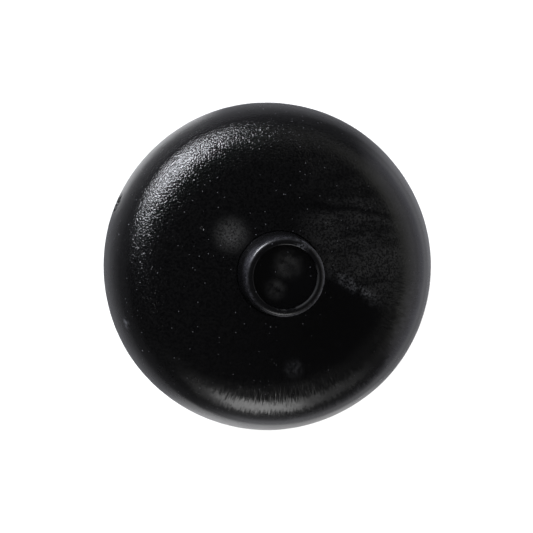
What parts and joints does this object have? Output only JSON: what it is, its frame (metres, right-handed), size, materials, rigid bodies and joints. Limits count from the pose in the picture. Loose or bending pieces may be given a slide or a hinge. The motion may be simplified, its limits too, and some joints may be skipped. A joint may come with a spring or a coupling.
{
  "type": "lawn bowl",
  "caption": "Flat-sided solid bowl with a crowned running surface, a tall raised mount with a dished end on the bias side and a low flat mount on the plain side.",
  "frame": {"origin": "centre of the flat land of the plain mount, the lowest face of the bowl lying on its plain side", "axes": "+Z along the rolling axis, out of the raised bias mount; X and Y lie across the bowl, which is round about Z"},
  "size_m": [0.124, 0.124, 0.0966],
  "materials": {
    "composition": "satin",
    "mount_resin": "gloss",
    "inlay_resin": "satin",
    "screw_brass": "satin"
  },
  "bodies": {
    "root": {"bowl_body": "composition", "bias_mount": "mount_resin", "bias_inlay_disc": "inlay_resin", "bias_mount_screw": "screw_brass", "plain_mount": "mount_resin", "plain_inlay_disc": "inlay_resin", "plain_mount_screw": "screw_brass"}
  },
  "joints": []
}
